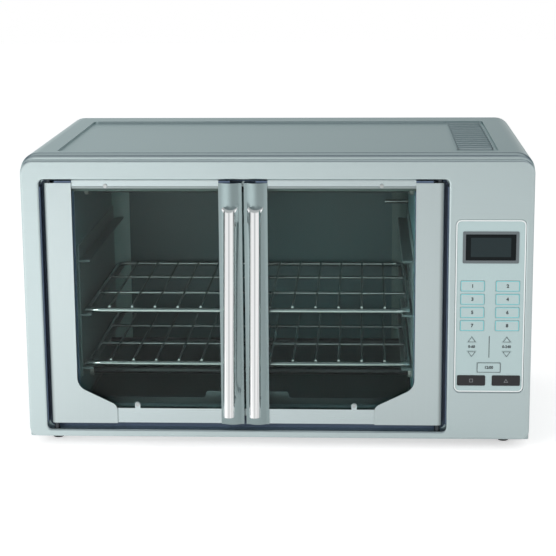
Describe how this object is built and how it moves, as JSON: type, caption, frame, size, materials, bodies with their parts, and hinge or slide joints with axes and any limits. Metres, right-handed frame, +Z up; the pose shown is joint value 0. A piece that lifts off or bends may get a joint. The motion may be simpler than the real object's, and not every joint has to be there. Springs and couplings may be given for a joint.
{
  "type": "toaster oven",
  "caption": "Countertop toaster oven with linked side-hinged glass doors, upright bar handles, wire racks, a convection fan and a keypad with a display.",
  "frame": {"origin": "under the middle of the oven's whole box, handles and rear stand-offs included, on the surface it stands on", "axes": "+X to the right seen from the front, +Y from the doors to the rear, +Z up"},
  "size_m": [0.57, 0.4133, 0.339],
  "materials": {
    "case_paint": "satin silver-grey enamel on pressed sheet",
    "case_zinc": "zinc-coated sheet, matt",
    "cavity_enamel": "dark grey-black enamel, satin",
    "guide_steel": "plain steel, heat-dulled",
    "wire_chrome": "chrome-plated wire",
    "element_steel": "heat-darkened sheath",
    "ceramic_white": "unglazed white ceramic",
    "door_steel": "satin silver",
    "handle_chrome": "polished tube",
    "door_glass": "clear tempered glass with green edges",
    "panel_face": "pale blue-grey film, satin",
    "bezel_grey": "mid grey, satin",
    "display_black": "smoked black window",
    "board_green": "coated circuit board",
    "key_white": "pale cap with coloured outline",
    "key_black": "black cap",
    "rubber_black": "black rubber",
    "nylon_white": "natural nylon",
    "screw_steel": "plated screws",
    "motor_metal": "plain steel can",
    "fan_metal": "stamped aluminium",
    "brass_plate": "plain brass"
  },
  "bodies": {
    "oven_body": {"front_fascia": "case_paint", "outer_wrap": "case_paint", "base_pan": "case_zinc", "rear_cover": "case_zinc", "feet": "rubber_black", "case_screws": "screw_steel", "cord_gland": "rubber_black", "cavity_liner": "cavity_enamel", "rack_guides": "guide_steel", "upper_elements": "element_steel", "lower_elements": "element_steel", "element_insulators": "ceramic_white", "temperature_probe": "screw_steel", "fan_grille": "guide_steel", "fan_housing": "case_zinc", "fan_motor": "motor_metal", "control_panel": "panel_face", "display_bezel": "bezel_grey", "display_window": "display_black", "display_module": "board_green", "control_board": "board_green", "power_board": "board_green", "hinge_brackets": "case_zinc", "sync_guides": "nylon_white"},
    "left_door": {"left_door_glass": "door_glass", "left_door_rails": "door_steel", "left_hinge_trim": "door_steel", "left_handle_stile": "door_steel", "left_handle": "handle_chrome", "left_door_screws": "screw_steel", "left_hinge_shafts": "motor_metal"},
    "right_door": {"right_door_glass": "door_glass", "right_door_rails": "door_steel", "right_hinge_trim": "door_steel", "right_handle_stile": "door_steel", "right_handle": "handle_chrome", "right_door_screws": "screw_steel", "right_hinge_shafts": "motor_metal"},
    "left_sync_bar": {"left_sync_bar": "case_zinc"},
    "right_sync_bar": {"right_sync_bar": "case_zinc"},
    "sync_rocker": {"sync_rocker": "brass_plate"},
    "upper_rack": {"upper_rack": "wire_chrome"},
    "lower_rack": {"lower_rack": "wire_chrome"},
    "crumb_tray": {"crumb_tray": "guide_steel"},
    "convection_fan": {"convection_fan": "fan_metal"},
    "function_key_1": {"function_key_1": "key_white"},
    "function_key_2": {"function_key_2": "key_white"},
    "function_key_3": {"function_key_3": "key_white"},
    "function_key_4": {"function_key_4": "key_white"},
    "function_key_5": {"function_key_5": "key_white"},
    "function_key_6": {"function_key_6": "key_white"},
    "function_key_7": {"function_key_7": "key_white"},
    "function_key_8": {"function_key_8": "key_white"},
    "time_up_key": {"time_up_key": "key_white"},
    "time_down_key": {"time_down_key": "key_white"},
    "heat_up_key": {"heat_up_key": "key_white"},
    "heat_down_key": {"heat_down_key": "key_white"},
    "clock_key": {"clock_key": "key_white"},
    "stop_key": {"stop_key": "key_black"},
    "start_key": {"start_key": "key_black"}
  },
  "joints": [
    {"name": "left_door_swing", "type": "hinge", "parent": "oven_body", "child": "left_door", "pos_m": [-0.254, -0.14238, 0.112], "axis": [0, 0, -1], "range_deg": [0, 105]},
    {"name": "right_door_swing", "type": "hinge", "parent": "oven_body", "child": "right_door", "pos_m": [0.181, -0.14238, 0.112], "axis": [0, 0, 1], "range_deg": [0, 105.5]},
    {"name": "left_bar_slide", "type": "slide", "parent": "oven_body", "child": "left_sync_bar", "axis": [1, 0, 0], "range_m": [0, 0.0192]},
    {"name": "right_bar_slide", "type": "slide", "parent": "oven_body", "child": "right_sync_bar", "axis": [-1, 0, 0], "range_m": [0, 0.0192]},
    {"name": "rocker_turn", "type": "hinge", "parent": "oven_body", "child": "sync_rocker", "pos_m": [-0.0365, -0.10827, 0.0145], "axis": [0, 0, 1], "range_deg": [0, 57.5]},
    {"name": "upper_rack_slide", "type": "slide", "parent": "oven_body", "child": "upper_rack", "axis": [0, -1, 0], "range_m": [0, 0.018]},
    {"name": "lower_rack_slide", "type": "slide", "parent": "oven_body", "child": "lower_rack", "axis": [0, -1, 0], "range_m": [0, 0.018]},
    {"name": "crumb_tray_slide", "type": "slide", "parent": "oven_body", "child": "crumb_tray", "axis": [0, -1, 0], "range_m": [0, 0.018]},
    {"name": "fan_spin", "type": "hinge", "parent": "oven_body", "child": "convection_fan", "pos_m": [0.172, 0.02173, 0.153], "axis": [1, 0, 0], "continuous": true},
    {"name": "function_key_1_press", "type": "slide", "parent": "oven_body", "child": "function_key_1", "axis": [0, 1, 0], "range_m": [0, 0.0008], "stiffness_N_per_m": 1500, "springref_m": -0.0006},
    {"name": "function_key_2_press", "type": "slide", "parent": "oven_body", "child": "function_key_2", "axis": [0, 1, 0], "range_m": [0, 0.0008], "stiffness_N_per_m": 1500, "springref_m": -0.0006},
    {"name": "function_key_3_press", "type": "slide", "parent": "oven_body", "child": "function_key_3", "axis": [0, 1, 0], "range_m": [0, 0.0008], "stiffness_N_per_m": 1500, "springref_m": -0.0006},
    {"name": "function_key_4_press", "type": "slide", "parent": "oven_body", "child": "function_key_4", "axis": [0, 1, 0], "range_m": [0, 0.0008], "stiffness_N_per_m": 1500, "springref_m": -0.0006},
    {"name": "function_key_5_press", "type": "slide", "parent": "oven_body", "child": "function_key_5", "axis": [0, 1, 0], "range_m": [0, 0.0008], "stiffness_N_per_m": 1500, "springref_m": -0.0006},
    {"name": "function_key_6_press", "type": "slide", "parent": "oven_body", "child": "function_key_6", "axis": [0, 1, 0], "range_m": [0, 0.0008], "stiffness_N_per_m": 1500, "springref_m": -0.0006},
    {"name": "function_key_7_press", "type": "slide", "parent": "oven_body", "child": "function_key_7", "axis": [0, 1, 0], "range_m": [0, 0.0008], "stiffness_N_per_m": 1500, "springref_m": -0.0006},
    {"name": "function_key_8_press", "type": "slide", "parent": "oven_body", "child": "function_key_8", "axis": [0, 1, 0], "range_m": [0, 0.0008], "stiffness_N_per_m": 1500, "springref_m": -0.0006},
    {"name": "time_up_key_press", "type": "slide", "parent": "oven_body", "child": "time_up_key", "axis": [0, 1, 0], "range_m": [0, 0.0008], "stiffness_N_per_m": 1500, "springref_m": -0.0006},
    {"name": "time_down_key_press", "type": "slide", "parent": "oven_body", "child": "time_down_key", "axis": [0, 1, 0], "range_m": [0, 0.0008], "stiffness_N_per_m": 1500, "springref_m": -0.0006},
    {"name": "heat_up_key_press", "type": "slide", "parent": "oven_body", "child": "heat_up_key", "axis": [0, 1, 0], "range_m": [0, 0.0008], "stiffness_N_per_m": 1500, "springref_m": -0.0006},
    {"name": "heat_down_key_press", "type": "slide", "parent": "oven_body", "child": "heat_down_key", "axis": [0, 1, 0], "range_m": [0, 0.0008], "stiffness_N_per_m": 1500, "springref_m": -0.0006},
    {"name": "clock_key_press", "type": "slide", "parent": "oven_body", "child": "clock_key", "axis": [0, 1, 0], "range_m": [0, 0.0008], "stiffness_N_per_m": 1500, "springref_m": -0.0006},
    {"name": "stop_key_press", "type": "slide", "parent": "oven_body", "child": "stop_key", "axis": [0, 1, 0], "range_m": [0, 0.0008], "stiffness_N_per_m": 1500, "springref_m": -0.0006},
    {"name": "start_key_press", "type": "slide", "parent": "oven_body", "child": "start_key", "axis": [0, 1, 0], "range_m": [0, 0.0008], "stiffness_N_per_m": 1500, "springref_m": -0.0006}
  ],
  "couplings": [
    {"joint": "right_door_swing", "follows": "left_door_swing", "ratio": 1},
    {"joint": "left_bar_slide", "follows": "left_door_swing", "m_per_rad": 0.01039},
    {"joint": "right_bar_slide", "follows": "left_door_swing", "m_per_rad": 0.01039},
    {"joint": "rocker_turn", "follows": "left_door_swing", "ratio": 0.54143}
  ]
}
